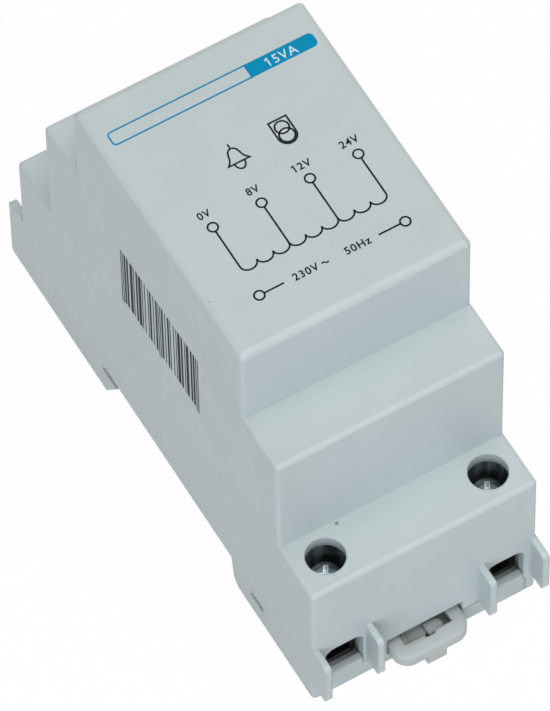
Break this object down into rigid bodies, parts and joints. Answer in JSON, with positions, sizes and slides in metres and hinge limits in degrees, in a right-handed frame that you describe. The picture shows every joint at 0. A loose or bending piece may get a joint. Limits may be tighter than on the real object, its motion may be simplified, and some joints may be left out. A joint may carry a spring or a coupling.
{
  "type": "doorbell transformer",
  "caption": "Stepped rail-mounted bell transformer with screw clamp terminals at both ends, a sliding rail clip and a laminated-core transformer inside a moulded cover.",
  "frame": {"origin": "on the resting plane under the middle of the part", "axes": "+Z out of the front face, X along the rail, +Y towards the four-terminal end"},
  "size_m": [0.0358, 0.088, 0.066],
  "materials": {
    "cover_plastic": "fine satin moulded plastic, cool light grey",
    "base_plastic": "fine satin moulded plastic, cool light grey",
    "clip_plastic": "satin moulded plastic, slightly warmer",
    "screw_steel": "zinc-plated steel",
    "clamp_steel": "zinc-plated folded steel",
    "contact_brass": "tinned brass strip",
    "core_steel": "varnished laminations",
    "bobbin_plastic": "natural nylon",
    "winding_copper": "enamelled copper wire in layers",
    "tape": "yellow polyester tape",
    "cutout_plastic": "moulded capsule",
    "lead_brown": "insulated wire",
    "lead_white": "insulated wire"
  },
  "bodies": {
    "housing": {"cover": "cover_plastic", "base": "base_plastic", "core_e_stack": "core_steel", "core_i_stack": "core_steel", "bobbin": "bobbin_plastic", "primary_winding": "winding_copper", "primary_tape": "tape", "secondary_winding": "winding_copper", "secondary_tape": "tape", "thermal_cutout": "cutout_plastic", "primary_contact_1": "contact_brass", "primary_lead_1": "lead_brown", "primary_contact_2": "contact_brass", "primary_lead_2": "lead_brown", "secondary_contact_1": "contact_brass", "secondary_lead_1": "lead_white", "secondary_contact_2": "contact_brass", "secondary_lead_2": "lead_white", "secondary_contact_3": "contact_brass", "secondary_lead_3": "lead_white", "secondary_contact_4": "contact_brass", "secondary_lead_4": "lead_white"},
    "rail_clip": {"din_clip": "clip_plastic"},
    "primary_screw_body_1": {"primary_screw_1": "screw_steel"},
    "primary_clamp_body_1": {"primary_clamp_1": "clamp_steel"},
    "primary_screw_body_2": {"primary_screw_2": "screw_steel"},
    "primary_clamp_body_2": {"primary_clamp_2": "clamp_steel"},
    "secondary_screw_body_1": {"secondary_screw_1": "screw_steel"},
    "secondary_clamp_body_1": {"secondary_clamp_1": "clamp_steel"},
    "secondary_screw_body_2": {"secondary_screw_2": "screw_steel"},
    "secondary_clamp_body_2": {"secondary_clamp_2": "clamp_steel"},
    "secondary_screw_body_3": {"secondary_screw_3": "screw_steel"},
    "secondary_clamp_body_3": {"secondary_clamp_3": "clamp_steel"},
    "secondary_screw_body_4": {"secondary_screw_4": "screw_steel"},
    "secondary_clamp_body_4": {"secondary_clamp_4": "clamp_steel"}
  },
  "joints": [
    {"name": "clip_slide", "type": "slide", "parent": "housing", "child": "rail_clip", "axis": [0, -1, 0], "range_m": [0, 0.004], "stiffness_N_per_m": 1500, "springref_m": -0.001},
    {"name": "primary_screw_turn_1", "type": "hinge", "parent": "housing", "child": "primary_screw_body_1", "pos_m": [-0.01285, -0.0356, 0.02], "axis": [0, 0, -1], "range_deg": [0, 2881]},
    {"name": "primary_clamp_rise_1", "type": "slide", "parent": "housing", "child": "primary_clamp_body_1", "axis": [0, 0, 1], "range_m": [0, 0.0048]},
    {"name": "primary_screw_turn_2", "type": "hinge", "parent": "housing", "child": "primary_screw_body_2", "pos_m": [0.01285, -0.0356, 0.02], "axis": [0, 0, -1], "range_deg": [0, 2881]},
    {"name": "primary_clamp_rise_2", "type": "slide", "parent": "housing", "child": "primary_clamp_body_2", "axis": [0, 0, 1], "range_m": [0, 0.0048]},
    {"name": "secondary_screw_turn_1", "type": "hinge", "parent": "housing", "child": "secondary_screw_body_1", "pos_m": [-0.0119, 0.0356, 0.02], "axis": [0, 0, -1], "range_deg": [0, 2881]},
    {"name": "secondary_clamp_rise_1", "type": "slide", "parent": "housing", "child": "secondary_clamp_body_1", "axis": [0, 0, 1], "range_m": [0, 0.0048]},
    {"name": "secondary_screw_turn_2", "type": "hinge", "parent": "housing", "child": "secondary_screw_body_2", "pos_m": [-0.00397, 0.0356, 0.02], "axis": [0, 0, -1], "range_deg": [0, 2881]},
    {"name": "secondary_clamp_rise_2", "type": "slide", "parent": "housing", "child": "secondary_clamp_body_2", "axis": [0, 0, 1], "range_m": [0, 0.0048]},
    {"name": "secondary_screw_turn_3", "type": "hinge", "parent": "housing", "child": "secondary_screw_body_3", "pos_m": [0.00397, 0.0356, 0.02], "axis": [0, 0, -1], "range_deg": [0, 2881]},
    {"name": "secondary_clamp_rise_3", "type": "slide", "parent": "housing", "child": "secondary_clamp_body_3", "axis": [0, 0, 1], "range_m": [0, 0.0048]},
    {"name": "secondary_screw_turn_4", "type": "hinge", "parent": "housing", "child": "secondary_screw_body_4", "pos_m": [0.0119, 0.0356, 0.02], "axis": [0, 0, -1], "range_deg": [0, 2881]},
    {"name": "secondary_clamp_rise_4", "type": "slide", "parent": "housing", "child": "secondary_clamp_body_4", "axis": [0, 0, 1], "range_m": [0, 0.0048]}
  ],
  "couplings": [
    {"joint": "primary_screw_turn_1", "follows": "primary_clamp_rise_1", "rad_per_m": 10472},
    {"joint": "primary_screw_turn_2", "follows": "primary_clamp_rise_2", "rad_per_m": 10472},
    {"joint": "secondary_screw_turn_1", "follows": "secondary_clamp_rise_1", "rad_per_m": 10472},
    {"joint": "secondary_screw_turn_2", "follows": "secondary_clamp_rise_2", "rad_per_m": 10472},
    {"joint": "secondary_screw_turn_3", "follows": "secondary_clamp_rise_3", "rad_per_m": 10472},
    {"joint": "secondary_screw_turn_4", "follows": "secondary_clamp_rise_4", "rad_per_m": 10472}
  ]
}
